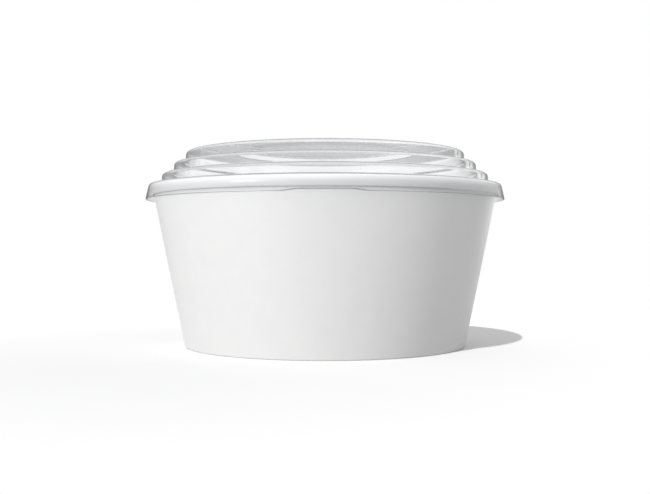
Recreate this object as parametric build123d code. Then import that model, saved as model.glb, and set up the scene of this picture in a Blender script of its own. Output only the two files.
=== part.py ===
from build123d import *
from math import asin, atan2, cos, degrees, hypot, radians, sin, sqrt, tan
import os

# Round paper bowl with a rolled rim, a set-in base and a stepped clear lid that lifts off.
# Millimetres, +Z up. The origin is on the bowl's axis, in the plane of its foot.
# The lid's pull tab points to -Y, and the side seam of the bowl's wall is at +Y.

# Bowl, overall
rim_diameter = 150.0
foot_diameter = 120.0
bowl_height = 67.9
wall_board = 0.4
base_board = 0.4

# Rolled rim: a tight curl, then an outer leg that bows outwards, with its end tucked in under it
curl_radius = 0.48
roll_bow = 3.5
roll_bow_degrees = 28.0
tuck_gap = 0.15
tuck_length = 0.6

# Foot: the wall is folded up round the flange of the base
base_recess = 8.0
base_bend = 0.5
flange_gap = 0.3
hem_gap = 1.2
fold_bend = 0.12
seal_gap = 0.1

# Side seam, where one end of the wall's blank laps over the other
seam_lap = 8.0
seam_ramp = 3.0
seam_end_gap = 0.4

# Lid, formed from one sheet
film = 0.4
lid_gap = 0.15
skirt_height = 6.1
skirt_flare_degrees = 12.5
rim_ledge = 5.5
tier_count = 3
first_riser = 4.45
riser = 4.75
tread = 5.0
riser_draft_degrees = 1.0
lid_corner = 1.2
lid_root = 0.8

# Raised disc in the middle of the lid
disc_radius = 38.6
disc_height = 1.5
disc_slope = 2.9

# Pull tab on the lid's skirt
tab_reach = 8.7
tab_root_width = 30.0
tab_tip_width = 19.0
tab_corner = 3.0

# Centres of the roll's leg and of its curl
rim_radius = rim_diameter / 2
foot_radius = foot_diameter / 2
bow = radians(roll_bow_degrees)
bow_r = rim_radius - wall_board / 2 - roll_bow
curl_r = bow_r + (roll_bow - curl_radius) * cos(bow)
curl_z = bowl_height - wall_board / 2 - curl_radius
bow_z = curl_z - (roll_bow - curl_radius) * sin(bow)

# The wall's outside face runs straight up from the foot and meets the curl along a tangent
curl_inner = curl_radius - wall_board / 2
run_out = curl_r - foot_radius
lean = atan2(run_out, curl_z) - asin(curl_inner / hypot(run_out, curl_z))

# The tuck's bend fills the room between the leg and the wall
bow_depth = bow_z * sin(lean) - (bow_r - foot_radius) * cos(lean)
tuck_room = roll_bow * cos(bow - lean) - bow_depth - tuck_gap - wall_board / 2
tuck_radius = tuck_room / (1 + cos(bow - lean))
roll_bottom = bow_z - (roll_bow - tuck_radius) * sin(bow) - tuck_radius - wall_board / 2
fold_radius = fold_bend + wall_board / 2


def wall_point(z, depth):
    """Point at height z on the line that lies depth inside the wall's outside face."""
    return foot_radius - depth / cos(lean) + z * tan(lean), z


def turned_sheet(middle, thickness):
    """Sheet of even thickness about its middle line, turned about Z."""
    outline = offset(middle, amount=thickness / 2)
    section = split(make_face(outline.edges()), bisect_by=Plane.YZ)
    return revolve(Plane.XZ * section, Axis.Z)


def rolled_wall():
    """Wall with its hem folded in and up at the foot and its rim rolled outwards."""
    half = wall_board / 2
    hem_depth = wall_board + base_board + 2 * seal_gap + half
    hem_top = base_recess - hem_gap
    rise = (sin(lean), cos(lean))
    curl_start = (curl_r - curl_radius * cos(lean), curl_z + curl_radius * sin(lean))
    wall = FilletPolyline(
        wall_point(hem_top, hem_depth),
        wall_point(half, hem_depth),
        wall_point(half, half),
        curl_start,
        radius=fold_radius,
    )
    over = JernArc(curl_start, rise, curl_radius, -(180 - degrees(lean) - roll_bow_degrees))
    leg = JernArc(over @ 1, over % 1, roll_bow, -2 * roll_bow_degrees)
    under = JernArc(leg @ 1, leg % 1, tuck_radius, -(180 + degrees(lean) - roll_bow_degrees))
    end = Line(under @ 1, under @ 1 + Vector(*rise) * tuck_length)
    return turned_sheet(wall + over + leg + under + end, wall_board)


def seam_band(shallow, deep):
    """Ring round the wall between two depths, as high as the seam."""
    low = fold_radius + wall_board / 2 + seam_end_gap
    high = roll_bottom - seam_end_gap
    section = Polyline(
        wall_point(low, deep),
        wall_point(low, shallow),
        wall_point(high, shallow),
        wall_point(high, deep),
        close=True,
    )
    return revolve(Plane.XZ * make_face(section), Axis.Z)


def seam_ramp_plane():
    """Outside face of the blank's outer end, where it comes down beside the edge of the inner end."""

    def on_wall(x, z, height):
        radius = wall_point(z, -height)[0]
        return Vector(x, sqrt(radius**2 - x**2), z)

    foot = on_wall(seam_lap / 2, 0, 0)
    along = on_wall(seam_lap / 2, roll_bottom, 0) - foot
    across = on_wall(seam_lap / 2 - seam_ramp, 0, wall_board) - foot
    return Plane(foot, x_dir=along, z_dir=across.cross(along))


def seam_strip():
    """Thickness that the outer end adds: one edge is cut square, the other ramps down."""
    reach = seam_lap + seam_ramp
    strip = Box(reach, rim_diameter, bowl_height, align=(Align.MIN, Align.MIN, Align.MIN))
    strip = seam_band(-wall_board, wall_board / 2) & (Pos(-seam_lap / 2, 0, 0) * strip)
    return split(strip, bisect_by=seam_ramp_plane(), keep=Keep.BOTTOM)


def seam_groove():
    """Wedge of room inside the ramp, beside the cut edge of the inner end."""
    groove = Box(seam_lap, rim_diameter, bowl_height, align=(Align.MIN, Align.MIN, Align.MIN))
    groove = seam_band(-wall_board / 2, 2 * wall_board) & (Pos(seam_lap / 2 - seam_ramp, 0, 0) * groove)
    return split(groove, bisect_by=seam_ramp_plane().offset(-wall_board), keep=Keep.BOTTOM)


def bowl_wall():
    return rolled_wall() + seam_strip() - seam_groove()


def bowl_base():
    """Base disc with its edge turned down between the wall and the hem."""
    half = base_board / 2
    depth = wall_board + seal_gap + half
    middle = FilletPolyline(
        (0, base_recess + half),
        wall_point(base_recess + half, depth),
        wall_point(wall_board + flange_gap + half, depth),
        radius=base_bend + half,
    )
    return turned_sheet(middle, base_board)


def lid():
    """Lid with a flared skirt round the roll, tiers that step inwards, a raised disc and a pull tab."""
    half = film / 2
    flare = radians(skirt_flare_degrees)
    skirt_room = roll_bow + wall_board / 2 + lid_gap + half
    level = bowl_height + lid_gap + half
    skirt_bottom = level - skirt_height

    def skirt_point(z):
        return bow_r + skirt_room / cos(flare) + (bow_z - z) * tan(flare), z

    skirt_radius = skirt_point(skirt_bottom)[0]
    points = [skirt_point(skirt_bottom), skirt_point(level)]
    bends = [lid_corner]
    for tier in range(tier_count):
        height = riser if tier else first_riser
        radius = rim_radius - rim_ledge - tier * tread
        points.append((radius, level))
        level += height
        points.append((radius - height * tan(radians(riser_draft_degrees)), level))
        bends += [lid_root, lid_corner]
    points += [
        (disc_radius, level),
        (disc_radius - disc_slope, level + disc_height),
        (0, level + disc_height),
    ]
    bends += [lid_root, lid_corner]
    shell = turned_sheet(FilletPolyline(*points, radius=bends), film)

    # The tab lies level with the skirt's edge and starts in the middle of the skirt's thickness
    root_y = -sqrt(skirt_radius**2 - (tab_root_width / 2) ** 2)
    tip_y = -skirt_radius - tab_reach
    outline = Polyline(
        (-tab_root_width / 2, root_y),
        (-tab_tip_width / 2, tip_y),
        (tab_tip_width / 2, tip_y),
        (tab_root_width / 2, root_y),
        close=True,
    )
    plate = make_face(outline) - Circle(skirt_radius)
    plate = fillet(plate.vertices().group_by(Axis.Y)[0], tab_corner)
    tab = Pos(0, 0, skirt_bottom - half) * extrude(plate, film)
    return shell + tab


os.makedirs("parts", exist_ok=True)
export_step(bowl_wall(), "parts/bowl_wall.step")
export_step(bowl_base(), "parts/bowl_base.step")
export_step(lid(), "parts/lid.step")
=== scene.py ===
"""Looks of a white paper bowl under a clear stepped lid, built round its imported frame, in metres.

Every sheet is drawn as a section line with its bends, given its thickness and turned about Z.
"""

import math
from collections import namedtuple

import bpy
from mathutils import Matrix, Vector


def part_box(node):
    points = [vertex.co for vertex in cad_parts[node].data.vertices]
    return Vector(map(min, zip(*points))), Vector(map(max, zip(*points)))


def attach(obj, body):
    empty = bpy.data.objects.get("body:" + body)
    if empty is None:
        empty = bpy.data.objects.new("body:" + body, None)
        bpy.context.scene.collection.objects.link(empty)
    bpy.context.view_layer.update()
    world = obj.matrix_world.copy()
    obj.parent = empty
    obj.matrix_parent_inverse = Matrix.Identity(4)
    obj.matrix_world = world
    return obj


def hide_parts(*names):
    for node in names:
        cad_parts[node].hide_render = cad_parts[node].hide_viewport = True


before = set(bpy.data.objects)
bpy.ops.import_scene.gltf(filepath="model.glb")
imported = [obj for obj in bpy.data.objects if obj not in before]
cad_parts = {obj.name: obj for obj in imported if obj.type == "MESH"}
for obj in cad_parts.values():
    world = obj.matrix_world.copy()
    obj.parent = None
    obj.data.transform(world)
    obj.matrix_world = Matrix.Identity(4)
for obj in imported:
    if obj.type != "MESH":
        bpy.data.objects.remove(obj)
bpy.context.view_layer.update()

MM = 0.001

# Sizes read from the frame
wall_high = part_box("bowl_wall")[1]
base_low, base_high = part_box("bowl_base")
lid_low, lid_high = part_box("lid")
rim_radius = wall_high.x
bowl_height = wall_high.z
lid_top = lid_high.z
tab_tip = -lid_low.y

# Paperboard
foot_radius = 60.0 * MM
board = 0.4 * MM
half_board = board / 2
curl_radius = 0.48 * MM
roll_bow = 3.5 * MM
bow = math.radians(28)
tuck_gap = 0.15 * MM
tuck_length = 0.6 * MM
base_recess = base_high.z - board
base_bend = 0.5 * MM
flange_bottom = base_low.z
hem_gap = 1.2 * MM
fold_radius = 0.12 * MM + half_board
seal_gap = 0.1 * MM

# Side seam at the back
seam_lap = 8.0 * MM
seam_ramp = 3.0 * MM
seam_end_gap = 0.4 * MM
seam_edge = 0.02 * MM
seam_reach = math.radians(5)

# Lid
film = 0.4 * MM
half_film = film / 2
lid_gap = 0.15 * MM
skirt_height = 6.1 * MM
skirt_flare = math.radians(12.5)
rim_ledge = 5.5 * MM
risers = (4.45 * MM, 4.75 * MM, 4.75 * MM)
tread = 5.0 * MM
riser_draft = math.radians(1)
lid_corner = 1.2 * MM
lid_root = 0.8 * MM
disc_radius = 38.6 * MM
disc_slope = 2.9 * MM

# Pull tab at the front
tab_root_half = 15.0 * MM
tab_tip_half = 9.5 * MM
tab_corner = 3.0 * MM

# Paper and film surfaces; a scale counts features in a metre
noise_low = 0.3
noise_high = 0.7
cloud_scale = 140
fibre_scale = 1500
tooth_depth = 0.03 * MM
paper_specular = 0.4
film_colour = (0.9905, 0.993, 0.9985, 1)
film_shadow = (0.955, 0.96, 0.965, 1)
film_index = 1.58
draw_scale = 60
draw_depth = 0.2 * MM
draw_strength = 0.015
haze_scale = 220
trim_colour = (0.48, 0.5, 0.51, 1)
trim_fade = 8.0 * MM

# Fineness of the meshes
bend_step = math.radians(11.25)
paper_column = math.radians(1.5)
lid_column = math.radians(1.2)
tab_column = math.radians(0.3)
floor_column = math.radians(3)
crease_angle = math.radians(40)

# Camera, with its lens and sensor in millimetres
camera_distance = 0.4
camera_height = 42.06 * MM
camera_near = 0.01
camera_lens = 51.06
camera_sensor = 36.0

# Floor: white, with a soft painted shade round a place at the front left
floor_radius = 0.36
floor_bounce = (0.28, 0.28, 0.28, 1)
# Painted shade on the floor: its darkest colour, its centre and how far it reaches
floor_painted_shade = (0.87, 0.87, 0.873, 1)
painted_shade_centre = (-0.055, -0.065, 0)
painted_shade_reach = 0.16
floor_grain = 0.04
floor_grain_scale = 40

# Lamps
lamp_aim = Vector((0, 0, bowl_height / 2))
lamp_distance = 1.2
sun_angle = math.radians(0.9)
key_angle = math.radians(8)
soft_angle = math.radians(25)

# Backdrop, and the room that the lid mirrors; a height is the sine of the elevation
white = (1, 1, 1, 1)
room_fill = (0.545, 0.545, 0.545, 1)
window_near = (1.3, 1.27, 1.22, 1)
window_far = (0.85, 0.83, 0.8, 1)
wall_top = 0.1
lintel_bottom = 0.15
lintel_grey = 0.42
ceiling_bottom = 0.3
ceiling_grey = 0.7
half_bounce = 0.5

# Place of a section round the axis: its angle, or its offset from the back, and the seam's state there
Column = namedtuple("Column", "angle offset lap groove cut", defaults=(None, 0, 0, False))


def left_of(way):
    """The direction a quarter turn to the left of a section direction."""
    return Vector((-way.y, way.x))


def add_arc(trail, radius, turn):
    """Carry a section line on round an arc; a positive turn is to the left."""
    point, normal = trail[-1]
    arm = normal * math.copysign(radius, turn)
    steps = max(2, math.ceil(abs(turn) / bend_step))
    for step in range(1, steps + 1):
        spin = Matrix.Rotation(turn * step / steps, 2)
        trail.append((point + arm - spin @ arm, spin @ normal))


def bent_line(corners, radii):
    """Points of a section line through the corners with round bends, each with its normal to the left."""
    corners = [Vector(corner) for corner in corners]
    way = (corners[1] - corners[0]).normalized()
    trail = [(corners[0], left_of(way))]
    for corner, after, radius in zip(corners[1:], corners[2:], radii):
        following = (after - corner).normalized()
        turn = math.atan2(way.cross(following), way.dot(following))
        trail.append((corner - way * radius * math.tan(abs(turn) / 2), left_of(way)))
        add_arc(trail, radius, turn)
        way = following
    trail.append((corners[-1], left_of(way)))
    return trail


def rounded_end(trail, index, half):
    """Points round the cut end of a sheet, from its left face to its right face."""
    point, normal = trail[index]
    neighbour = trail[1 if index == 0 else -2][0]
    outward = (point - neighbour).normalized()
    turns = (math.radians(45), math.radians(90), math.radians(135))
    return [point + (normal * math.cos(turn) + outward * math.sin(turn)) * half for turn in turns]


def faces_of(trail, half):
    """The left and right faces of a sheet along the trail."""
    left = [point + normal * half for point, normal in trail]
    right = [point - normal * half for point, normal in trail]
    return left, right


def even_angles(first, last, spacing):
    """Angles from first up to but not including last, evenly spaced."""
    count = max(1, round((last - first) / spacing))
    return [first + (last - first) * step / count for step in range(count)]


def turned_piece(name, columns, section_at, materials, material_at, closed):
    """A mesh piece from sections standing round the Z axis, one for each column.

    A section whose ends are on the axis is open there, and its two end points are shared by all columns.
    """
    rows = len(section_at(columns[0]))
    points = []
    index = {}
    for place, column in enumerate(columns):
        for row, (radius, height) in enumerate(section_at(column)):
            pole = not closed and row in (0, rows - 1)
            if pole and place > 0:
                index[place, row] = index[0, row]
                continue
            angle = column.angle
            if column.offset is not None and radius > 0:
                angle = math.radians(90) - math.asin(column.offset / radius)
            index[place, row] = len(points)
            points.append((radius * math.cos(angle), radius * math.sin(angle), height))
    faces = []
    finishes = []
    for place in range(len(columns)):
        following = (place + 1) % len(columns)
        for row in range(rows if closed else rows - 1):
            below = (row + 1) % rows
            left = [index[place, row], index[place, below]]
            right = [index[following, below], index[following, row]]
            faces.append(list(dict.fromkeys(left + right)))
            finishes.append(materials.index(material_at(row, columns[place])))
    mesh = bpy.data.meshes.new(name)
    mesh.from_pydata(points, [], faces)
    for material in materials:
        mesh.materials.append(material)
    mesh.polygons.foreach_set("material_index", finishes)
    mesh.shade_smooth()
    mesh.set_sharp_from_angle(angle=crease_angle)
    piece = bpy.data.objects.new(name, mesh)
    bpy.context.scene.collection.objects.link(piece)
    even = piece.modifiers.new("even_faces", "WEIGHTED_NORMAL")
    even.keep_sharp = True
    return piece


# Materials


def node(tree, kind, inputs=None, **settings):
    """A new shader node with its settings; an input is given a plain value or an output to link."""
    made = tree.nodes.new(kind)
    for key, value in settings.items():
        setattr(made, key, value)
    for key, value in (inputs or {}).items():
        if isinstance(value, bpy.types.NodeSocket):
            tree.links.new(value, made.inputs[key])
        else:
            made.inputs[key].default_value = value
    return made


def new_material(name):
    """An empty node material with its output node."""
    material = bpy.data.materials.new(name)
    material.use_nodes = True
    material.node_tree.nodes.clear()
    return material, material.node_tree, node(material.node_tree, "ShaderNodeOutputMaterial")


def noise(tree, place, scale, detail, roughness=0.5):
    """Noise in object space; scale counts features in a metre."""
    settings = {"Vector": place, "Scale": scale, "Detail": detail, "Roughness": roughness}
    return node(tree, "ShaderNodeTexNoise", settings).outputs["Fac"]


def ranged(tree, value, first, last, low=0, high=1):
    """A value that goes from low to high while the given value goes from first to last."""
    settings = {"Value": value, "From Min": first, "From Max": last, "To Min": low, "To Max": high}
    return node(tree, "ShaderNodeMapRange", settings).outputs["Result"]


def spread(tree, value, low, high):
    """The middle of a noise's range spread between low and high."""
    return ranged(tree, value, noise_low, noise_high, low, high)


def maths(tree, operation, *values):
    """The result of an operation on values or outputs."""
    return node(tree, "ShaderNodeMath", dict(enumerate(values)), operation=operation).outputs["Value"]


def blended(tree, factor, start, end):
    """A colour between two colours."""
    mix = node(tree, "ShaderNodeMix", {"Factor": factor, "A": start, "B": end}, data_type="RGBA")
    return mix.outputs["Result"]


def paper(name, dark, light, gloss, tooth):
    """Bleached paperboard: a faint cloudy formation, a short-fibred tooth and an uneven sheen."""
    material, tree, output = new_material(name)
    place = node(tree, "ShaderNodeTexCoord").outputs["Object"]
    cloud = noise(tree, place, cloud_scale, detail=4, roughness=0.6)
    fibre = noise(tree, place, fibre_scale, detail=6, roughness=0.65)
    bump = node(tree, "ShaderNodeBump", {"Height": fibre, "Strength": tooth, "Distance": tooth_depth})
    shader = node(tree, "ShaderNodeBsdfPrincipled", {
        "Base Color": blended(tree, spread(tree, cloud, 0, 1), dark, light),
        "Roughness": spread(tree, fibre, *gloss),
        "Normal": bump.outputs["Normal"],
        "Specular IOR Level": paper_specular,
    })
    tree.links.new(shader.outputs["BSDF"], output.inputs["Surface"])
    return material


def plain_face(tree, place):
    """Colour of the film's faces."""
    return film_colour


def trimmed_edge(tree, place):
    """Colour of the film's cut edge: darker grey along the tab, fading to clear further round the skirt."""
    across = node(tree, "ShaderNodeSeparateXYZ", {"Vector": place}).outputs["X"]
    aside = maths(tree, "ABSOLUTE", across)
    fade = ranged(tree, aside, tab_root_half, tab_root_half + trim_fade)
    return blended(tree, fade, trim_colour, film_colour)


def clear_film(name, colour_at, gloss):
    """Thermoformed clear film with a slightly uneven face; lamps shine through it on to the paper."""
    material, tree, output = new_material(name)
    place = node(tree, "ShaderNodeTexCoord").outputs["Object"]
    draw = noise(tree, place, draw_scale, detail=2)
    haze = noise(tree, place, haze_scale, detail=3)
    bump = node(tree, "ShaderNodeBump", {"Height": draw, "Strength": draw_strength, "Distance": draw_depth})
    glass = node(tree, "ShaderNodeBsdfPrincipled", {
        "Base Color": colour_at(tree, place),
        "Roughness": spread(tree, haze, *gloss),
        "IOR": film_index,
        "Transmission Weight": 1.0,
        "Normal": bump.outputs["Normal"],
    })
    passing = node(tree, "ShaderNodeBsdfTransparent", {"Color": film_shadow})
    path = node(tree, "ShaderNodeLightPath").outputs
    mix = node(tree, "ShaderNodeMixShader", {
        0: maths(tree, "MAXIMUM", path["Is Shadow Ray"], path["Is Diffuse Ray"]),
        1: glass.outputs["BSDF"],
        2: passing.outputs["BSDF"],
    })
    tree.links.new(mix.outputs["Shader"], output.inputs["Surface"])
    return material


def floor_paint():
    """Pale floor with a soft shade painted into its colour round a place at the front left, which throws
    less light back up at the bowl than the eye sees.
    """
    material, tree, output = new_material("floor_paint")
    place = node(tree, "ShaderNodeTexCoord").outputs["Object"]
    grain = spread(tree, noise(tree, place, floor_grain_scale, detail=3), 0, floor_grain)
    # Painted shade: the floor's colour is darker towards a place at the front left of the bowl
    away = node(tree, "ShaderNodeVectorMath", {0: place, 1: painted_shade_centre}, operation="DISTANCE")
    fade = ranged(tree, away.outputs["Value"], 0, painted_shade_reach)
    colour = blended(tree, maths(tree, "ADD", fade, grain), floor_painted_shade, white)
    seen = node(tree, "ShaderNodeBsdfDiffuse", {"Color": colour})
    bounced = node(tree, "ShaderNodeBsdfDiffuse", {"Color": floor_bounce})
    mix = node(tree, "ShaderNodeMixShader", {
        0: node(tree, "ShaderNodeLightPath").outputs["Is Diffuse Ray"],
        1: seen.outputs["BSDF"],
        2: bounced.outputs["BSDF"],
    })
    tree.links.new(mix.outputs["Shader"], output.inputs["Surface"])
    return material


# Bowl

bow_r = rim_radius - half_board - roll_bow
curl_r = bow_r + (roll_bow - curl_radius) * math.cos(bow)
curl_z = bowl_height - half_board - curl_radius
bow_z = curl_z - (roll_bow - curl_radius) * math.sin(bow)
run_out = curl_r - foot_radius
curl_inner = curl_radius - half_board
lean = math.atan2(run_out, curl_z) - math.asin(curl_inner / math.hypot(run_out, curl_z))
bow_depth = bow_z * math.sin(lean) - (bow_r - foot_radius) * math.cos(lean)
tuck_room = roll_bow * math.cos(bow - lean) - bow_depth - tuck_gap - half_board
tuck_radius = tuck_room / (1 + math.cos(bow - lean))
roll_bottom = bow_z - (roll_bow - tuck_radius) * math.sin(bow) - tuck_radius - half_board


def wall_point(height, depth):
    """Section point at a height, on the line at a depth inside the wall's outside face."""
    return Vector((foot_radius - depth / math.cos(lean) + height * math.tan(lean), height))


def seam_columns():
    """Columns round the bowl, with closer ones where the wall's two ends lap at the back."""
    back = math.radians(90)
    ramp_top = seam_lap / 2 - seam_ramp
    lap_end = -seam_lap / 2
    # Offset, lap, groove, and whether the face that follows is a cut edge
    steps = (
        (seam_lap / 2, 0, 0, False),
        (ramp_top, 1, 1, False),
        (ramp_top - seam_edge, 1, 0, False),
        (0, 1, 0, False),
        (lap_end + seam_edge, 1, 0, True),
        (lap_end, 0, 0, False),
    )
    around = even_angles(back + seam_reach, back - seam_reach + math.tau, paper_column)
    around.append(back - seam_reach + math.tau)
    return [Column(angle) for angle in around] + [Column(back + math.tau, *step) for step in steps]


def make_wall(outside, inside, edge):
    """The side wall: folded hem, leaning wall, rim rolled outwards, and the lap of its two ends."""
    hem_depth = 2 * board + 2 * seal_gap + half_board
    seam_low = fold_radius + half_board + seam_end_gap
    seam_high = roll_bottom - seam_end_gap
    corners = [
        wall_point(base_recess - hem_gap, hem_depth),
        wall_point(half_board, hem_depth),
        wall_point(half_board, half_board),
        wall_point(seam_low, half_board),
    ]
    trail = bent_line(corners, [fold_radius, fold_radius])
    normal = trail[-1][1]
    lapped = (len(trail), len(trail) + 1)
    for height in (seam_low + seam_edge, seam_high - seam_edge, seam_high):
        trail.append((wall_point(height, half_board), normal))
    trail.append((Vector((curl_r, curl_z)) + normal * curl_radius, normal))
    add_arc(trail, curl_radius, lean + bow - math.pi)
    add_arc(trail, roll_bow, -2 * bow)
    add_arc(trail, tuck_radius, bow - lean - math.pi)
    tuck_end, tuck_normal = trail[-1]
    trail.append((tuck_end - left_of(tuck_normal) * tuck_length, tuck_normal))

    inner, outer = faces_of(trail, half_board)
    top_end = rounded_end(trail, -1, half_board)
    hem_end = rounded_end(trail, 0, half_board)
    section = inner + top_end + outer[::-1] + hem_end[::-1]
    outer_start = len(inner) + len(top_end)
    outer_end = outer_start + len(outer) - 1

    def section_at(column):
        points = list(section)
        for row in lapped:
            points[row] = points[row] - normal * board * column.groove
            points[outer_end - row] = points[outer_end - row] - normal * board * column.lap
        return points

    def material_at(row, column):
        if row < len(inner) - 1:
            return inside
        if outer_start <= row < outer_end and not column.cut:
            return outside
        return edge

    papers = [outside, inside, edge]
    return turned_piece("wall_sheet", seam_columns(), section_at, papers, material_at, closed=True)


def make_base(outside, inside, edge):
    """The bottom: a disc above the foot with its edge turned down between the wall and its hem."""
    depth = board + seal_gap + half_board
    level = base_recess + half_board
    corners = [(0, level), wall_point(level, depth), wall_point(flange_bottom + half_board, depth)]
    trail = bent_line(corners, [base_bend + half_board])
    top, under = faces_of(trail, half_board)
    flange_end = rounded_end(trail, -1, half_board)
    section = top + flange_end + under[::-1]

    def section_at(column):
        return section

    def material_at(row, column):
        if row < len(top) - 1:
            return inside
        return edge if row < len(top) + len(flange_end) else outside

    columns = [Column(angle) for angle in even_angles(0, math.tau, paper_column)]
    papers = [outside, inside, edge]
    return turned_piece("base_sheet", columns, section_at, papers, material_at, closed=False)


# Lid

ledge_level = bowl_height + lid_gap + half_film
skirt_bottom = ledge_level - skirt_height


def skirt_point(height):
    """Section point on the skirt's middle line, which stands clear of the roll's leg by the lid's gap."""
    room = roll_bow + half_board + lid_gap + half_film
    flared = (bow_z - height) * math.tan(skirt_flare)
    return Vector((bow_r + room / math.cos(skirt_flare) + flared, height))


skirt_radius = skirt_point(skirt_bottom).x


def tab_radius(swing):
    """Distance from the axis to the tab's outline, at an angle from straight ahead."""
    swing = abs(swing)
    way = Vector((math.sin(swing), math.cos(swing)))
    root = Vector((tab_root_half, math.sqrt(skirt_radius**2 - tab_root_half**2)))
    side_way = (Vector((tab_tip_half, tab_tip)) - root).normalized()
    side_out = -left_of(side_way)
    centre_ahead = tab_tip - tab_corner
    centre_aside = (side_out.dot(root) - tab_corner - side_out.y * centre_ahead) / side_out.x
    centre = Vector((centre_aside, centre_ahead))
    round_end = centre + side_out * tab_corner
    if swing < math.atan2(centre_aside, tab_tip):
        return tab_tip / way.y
    if swing > math.atan2(round_end.x, round_end.y):
        return side_out.dot(root) / side_out.dot(way)
    along = way.dot(centre)
    return along + math.sqrt(along**2 - centre.length_squared + tab_corner**2)


def make_lid(face, edge):
    """The lid: flared skirt with its tab, ledge over the rim, tiers and the raised disc."""
    level = ledge_level
    corners = [skirt_point(skirt_bottom), skirt_point(level)]
    bends = [lid_corner]
    radius = rim_radius - rim_ledge
    for riser in risers:
        corners += [(radius, level), (radius - riser * math.tan(riser_draft), level + riser)]
        bends += [lid_root, lid_corner]
        level += riser
        radius -= tread
    disc_level = lid_top - half_film
    corners += [(disc_radius, level), (disc_radius - disc_slope, disc_level), (0, disc_level)]
    bends += [lid_root, lid_corner]
    trail = bent_line(corners, bends)
    inner, outer = faces_of(trail, half_film)
    end = rounded_end(trail, 0, half_film)
    section = outer[::-1] + end[::-1] + inner
    rim_row = len(outer) - 1
    front = math.radians(-90)
    tab_angle = math.asin(tab_root_half / skirt_radius)
    around = even_angles(front - tab_angle, front + tab_angle, tab_column)
    around += even_angles(front + tab_angle, front - tab_angle + math.tau, lid_column)

    def section_at(column):
        swing = column.angle - front
        if abs(swing) >= tab_angle:
            return section
        reach = tab_radius(swing)
        top = skirt_bottom + half_film
        under = skirt_bottom - half_film
        points = list(section)
        points[rim_row] = Vector((points[rim_row].x, top))
        points[rim_row + 1] = Vector((reach, top))
        points[rim_row + 2] = Vector((reach, under))
        points[rim_row + 3] = Vector((skirt_radius, under))
        return points

    def material_at(row, column):
        if abs(column.angle - front) < tab_angle:
            return edge if row == rim_row + 1 else face
        return edge if rim_row <= row <= rim_row + len(end) else face

    columns = [Column(angle) for angle in around]
    return turned_piece("lid_sheet", columns, section_at, [face, edge], material_at, closed=False)


# Stage


def make_floor():
    """A round floor under the bowl."""
    mesh = bpy.data.meshes.new("floor")
    angles = even_angles(0, math.tau, floor_column)
    edge = [(floor_radius * math.cos(angle), floor_radius * math.sin(angle), 0) for angle in angles]
    mesh.from_pydata(edge, [], [list(range(len(edge)))])
    mesh.materials.append(floor_paint())
    floor = bpy.data.objects.new("floor", mesh)
    bpy.context.scene.collection.objects.link(floor)
    return floor


def make_lamp(name, receivers, towards, energy, angle):
    """A far lamp in a direction from the bowl, as wide as its angle, that lights only its receivers."""
    lamp = bpy.data.lights.new(name, "SUN")
    lamp.energy = energy
    lamp.angle = angle
    holder = bpy.data.objects.new(name, lamp)
    bpy.context.scene.collection.objects.link(holder)
    offset = Vector(towards).normalized() * lamp_distance
    holder.location = lamp_aim + offset
    holder.rotation_euler = offset.to_track_quat("Z", "Y").to_euler()
    lit = bpy.data.collections.new(name + "_receivers")
    for receiver in receivers:
        lit.objects.link(receiver)
    holder.light_linking.receiver_collection = lit


def grey(level):
    """A neutral colour."""
    return (level, level, level, 1)


def room_colour(tree):
    """Colours of the room that the lid mirrors.

    Its walls are listed by the turn in degrees from straight behind the bowl to the right.
    """
    first_turn = -90
    last_turn = 270
    walls = (
        (first_turn, grey(1.2)),
        (-76, grey(0.75)),
        (-60, grey(0.4)),
        (-50, grey(0.3)),
        (-9, grey(0.3)),
        (-6, grey(0.5)),
        (5, grey(0.6)),
        (8, grey(0.4)),
        (33, grey(0.33)),
        (33.5, window_far),
        (39.5, window_far),
        (40, grey(0.33)),
        (43, grey(0.33)),
        (43.5, window_near),
        (50, window_near),
        (50.5, grey(0.25)),
        (75, grey(0.36)),
        (95, grey(0.75)),
        (110, grey(0.45)),
        (117, grey(0.35)),
        (122, grey(1.1)),
        (127, grey(1.3)),
        (150, grey(1.1)),
        (165, grey(0.5)),
        (195, grey(0.5)),
        (210, grey(1.2)),
        (238, grey(1.3)),
        (244, grey(0.45)),
        (252, grey(0.5)),
        (last_turn, grey(1.2)),
    )
    way = node(tree, "ShaderNodeTexCoord").outputs["Generated"]
    turn = node(tree, "ShaderNodeTexGradient", {"Vector": way}, gradient_type="RADIAL")
    room = node(tree, "ShaderNodeValToRGB", {"Fac": turn.outputs["Fac"]})
    stops = room.color_ramp.elements
    stops[0].color = walls[-1][1]
    stops[1].color = walls[0][1]
    for degrees, colour in walls[1:-1]:
        stops.new((last_turn - degrees) / (last_turn - first_turn)).color = colour
    height = node(tree, "ShaderNodeSeparateXYZ", {"Vector": way}).outputs["Z"]
    above = ranged(tree, height, wall_top, lintel_bottom)
    upper = ranged(tree, height, lintel_bottom, ceiling_bottom, lintel_grey, ceiling_grey)
    return blended(tree, above, room.outputs["Color"], upper)


def make_world():
    """White backdrop for the eye and through the lid, a grey room in reflections, and a low even fill."""
    world = bpy.data.worlds.new("studio")
    world.use_nodes = True
    tree = world.node_tree
    tree.nodes.clear()
    path = node(tree, "ShaderNodeLightPath").outputs
    clear = maths(tree, "MAXIMUM", path["Is Camera Ray"], path["Is Transmission Ray"])
    seen = maths(tree, "MAXIMUM", clear, path["Is Glossy Ray"])
    unscattered = maths(tree, "LESS_THAN", path["Diffuse Depth"], half_bounce)
    shown = maths(tree, "MULTIPLY", seen, unscattered)
    mirrored = maths(tree, "GREATER_THAN", path["Glossy Depth"], half_bounce)
    backdrop = blended(tree, mirrored, white, room_colour(tree))
    colour = blended(tree, shown, room_fill, backdrop)
    background = node(tree, "ShaderNodeBackground", {"Color": colour, "Strength": 1.0})
    node(tree, "ShaderNodeOutputWorld", {"Surface": background.outputs["Background"]})
    bpy.context.scene.world = world


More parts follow.
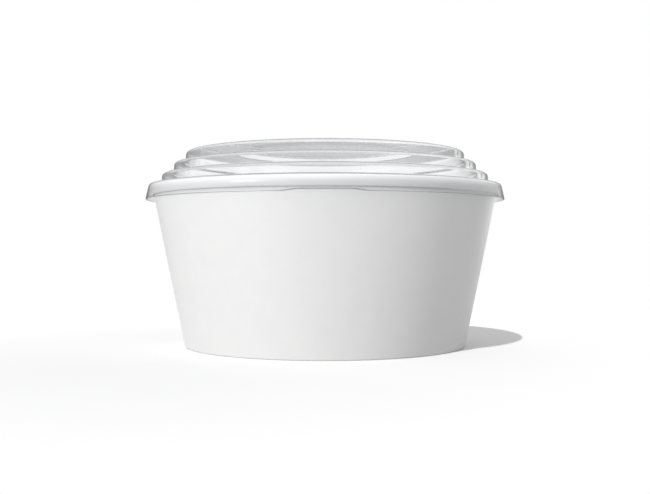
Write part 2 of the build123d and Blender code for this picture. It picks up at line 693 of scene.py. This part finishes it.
def make_camera():
    """Camera level with the middle of the bowl, at the photograph's distance."""
    camera = bpy.data.cameras.new("camera")
    camera.lens = camera_lens
    camera.sensor_width = camera_sensor
    camera.clip_start = camera_near
    holder = bpy.data.objects.new("camera", camera)
    bpy.context.scene.collection.objects.link(holder)
    holder.location = (0, -camera_distance, camera_height)
    holder.rotation_euler = (math.radians(90), 0, 0)
    bpy.context.scene.camera = holder


# Pieces on their bodies

outside = paper(
    "paper_outside",
    dark=(0.885, 0.885, 0.882, 1),
    light=(0.905, 0.905, 0.902, 1),
    gloss=(0.42, 0.58),
    tooth=0.25,
)
inside = paper(
    "paper_coated",
    dark=(0.89, 0.89, 0.888, 1),
    light=(0.905, 0.905, 0.903, 1),
    gloss=(0.28, 0.4),
    tooth=0.12,
)
edge = paper(
    "paper_cut_edge",
    dark=(0.8, 0.79, 0.765, 1),
    light=(0.86, 0.85, 0.83, 1),
    gloss=(0.75, 0.9),
    tooth=0.5,
)

wall = make_wall(outside, inside, edge)
base = make_base(outside, inside, edge)
for piece, replaced in ((wall, "bowl_wall"), (base, "bowl_base")):
    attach(piece, "bowl")
    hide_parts(replaced)

film_face = clear_film("clear_film", plain_face, gloss=(0, 0.012))
film_edge = clear_film("film_cut_edge", trimmed_edge, gloss=(0.3, 0.45))
lid = make_lid(film_face, film_edge)
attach(lid, "lid")
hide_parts("lid")

# Floor, lamps, world and camera

floor = make_floor()
make_lamp("sun", [floor], towards=(-0.225, -0.54, 0.81), energy=1.8, angle=sun_angle)
make_lamp("key", [wall, base], towards=(-0.76, -0.64, 0.07), energy=1.55, angle=key_angle)
make_lamp("front_fill", [wall, base], towards=(0, -0.88, 0.47), energy=0.56, angle=soft_angle)
make_lamp("top_fill", [wall], towards=(0, 0.05, 1), energy=2.3, angle=soft_angle)
make_lamp("base_fill", [base], towards=(0, 0, 1), energy=0.9, angle=soft_angle)
make_lamp("back_rim", [wall, base], towards=(0.5, 0.85, 0.15), energy=0.65, angle=soft_angle)
make_world()
make_camera()
bpy.context.scene.view_settings.view_transform = "Standard"
